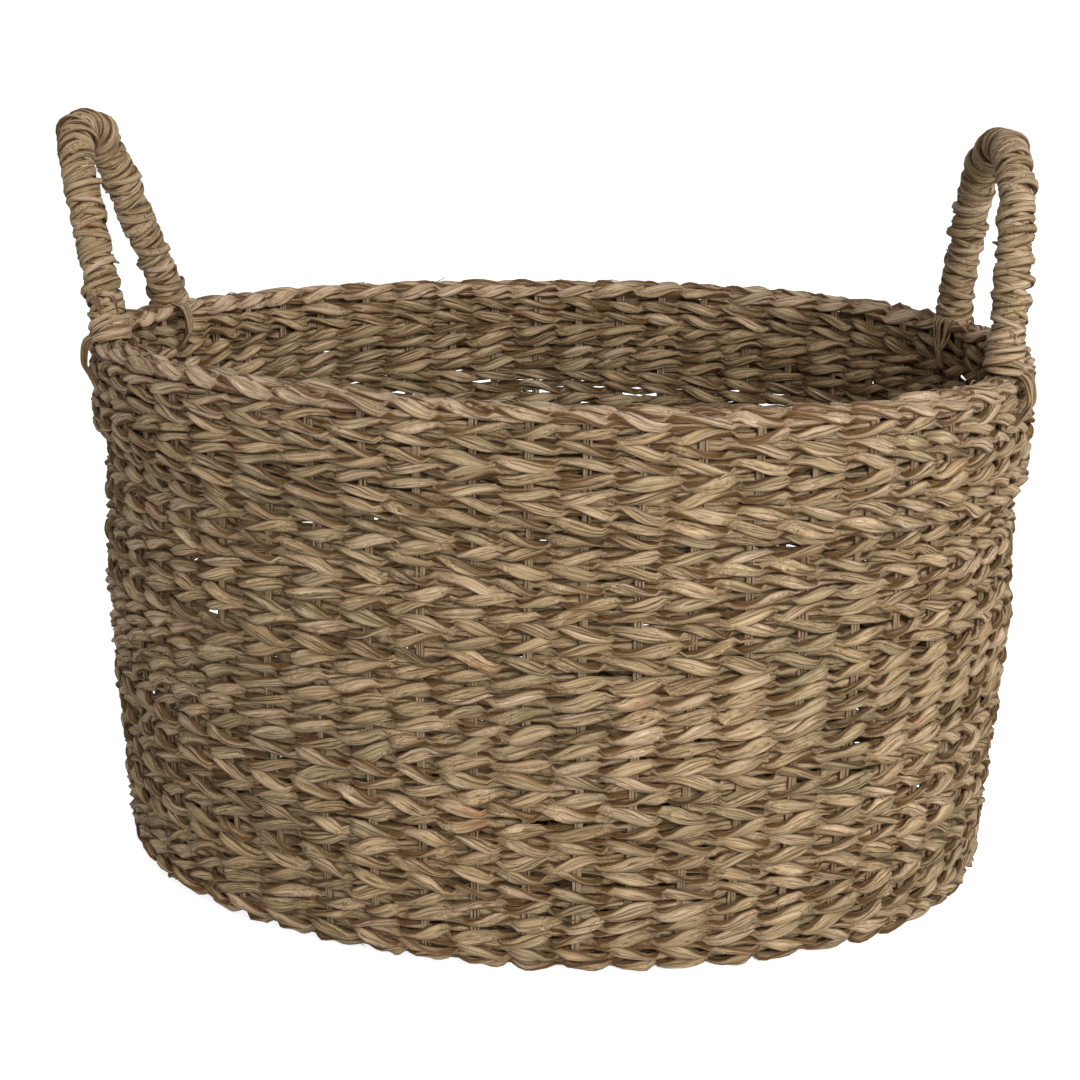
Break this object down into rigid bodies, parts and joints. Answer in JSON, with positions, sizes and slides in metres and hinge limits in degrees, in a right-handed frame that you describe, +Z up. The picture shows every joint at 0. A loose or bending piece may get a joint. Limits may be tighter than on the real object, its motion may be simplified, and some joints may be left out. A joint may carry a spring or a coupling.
{
  "type": "magazine basket",
  "caption": "Oval twined seagrass basket with a folded-over collar at the rim and two wrapped arched handles tied to its ends, for magazines or small things.",
  "frame": {"origin": "middle of the basket's underside, on the floor", "axes": "+Z up, X along the length with a handle at each end, front at -Y"},
  "size_m": [0.4308, 0.288, 0.3427],
  "materials": {
    "seagrass": "twined dry seagrass, matt with a faint silky sheen",
    "dark_seagrass": "twined dry seagrass, matt, a little darker",
    "pale_strip": "split seagrass strips, satin fibre",
    "stake_stem": "dry plant stem, matt",
    "handle_bundle": "bound bundle of dry stems, matt"
  },
  "bodies": {
    "basket": {"base_weave": "dark_seagrass", "wall_weave": "seagrass", "rim_border": "seagrass", "collar_weave": "seagrass", "cross_stake_1": "stake_stem", "cross_stake_2": "stake_stem", "cross_stake_3": "stake_stem", "cross_stake_4": "stake_stem", "cross_stake_5": "stake_stem", "cross_stake_6": "stake_stem", "cross_stake_7": "stake_stem", "cross_stake_8": "stake_stem", "cross_stake_9": "stake_stem", "cross_stake_10": "stake_stem", "cross_stake_11": "stake_stem", "cross_stake_12": "stake_stem", "cross_stake_13": "stake_stem", "long_stake_1": "stake_stem", "long_stake_2": "stake_stem", "long_stake_3": "stake_stem", "long_stake_4": "stake_stem", "long_stake_5": "stake_stem", "long_stake_6": "stake_stem", "long_stake_7": "stake_stem", "long_stake_8": "stake_stem", "long_stake_9": "stake_stem", "long_stake_10": "stake_stem", "long_stake_11": "stake_stem", "long_stake_12": "stake_stem", "long_stake_13": "stake_stem", "long_stake_14": "stake_stem", "lash_right_front": "pale_strip", "lash_right_rear": "pale_strip", "lash_left_rear": "pale_strip", "lash_left_front": "pale_strip"},
    "handle_left": {"handle_core_left": "handle_bundle", "handle_wrap_left": "pale_strip"},
    "handle_right": {"handle_core_right": "handle_bundle", "handle_wrap_right": "pale_strip"}
  },
  "joints": [
    {"name": "left_handle_tilt", "type": "hinge", "parent": "basket", "child": "handle_left", "pos_m": [-0.1902, 0, 0.2541], "axis": [0, -1, 0], "range_deg": [-41, 33], "deforming": ["lash_left_front", "lash_left_rear"]},
    {"name": "right_handle_tilt", "type": "hinge", "parent": "basket", "child": "handle_right", "pos_m": [0.18552, 0.0073, 0.2541], "axis": [-0.0862, 0.9963, 0], "range_deg": [-29, 46], "deforming": ["lash_right_front", "lash_right_rear"]}
  ]
}
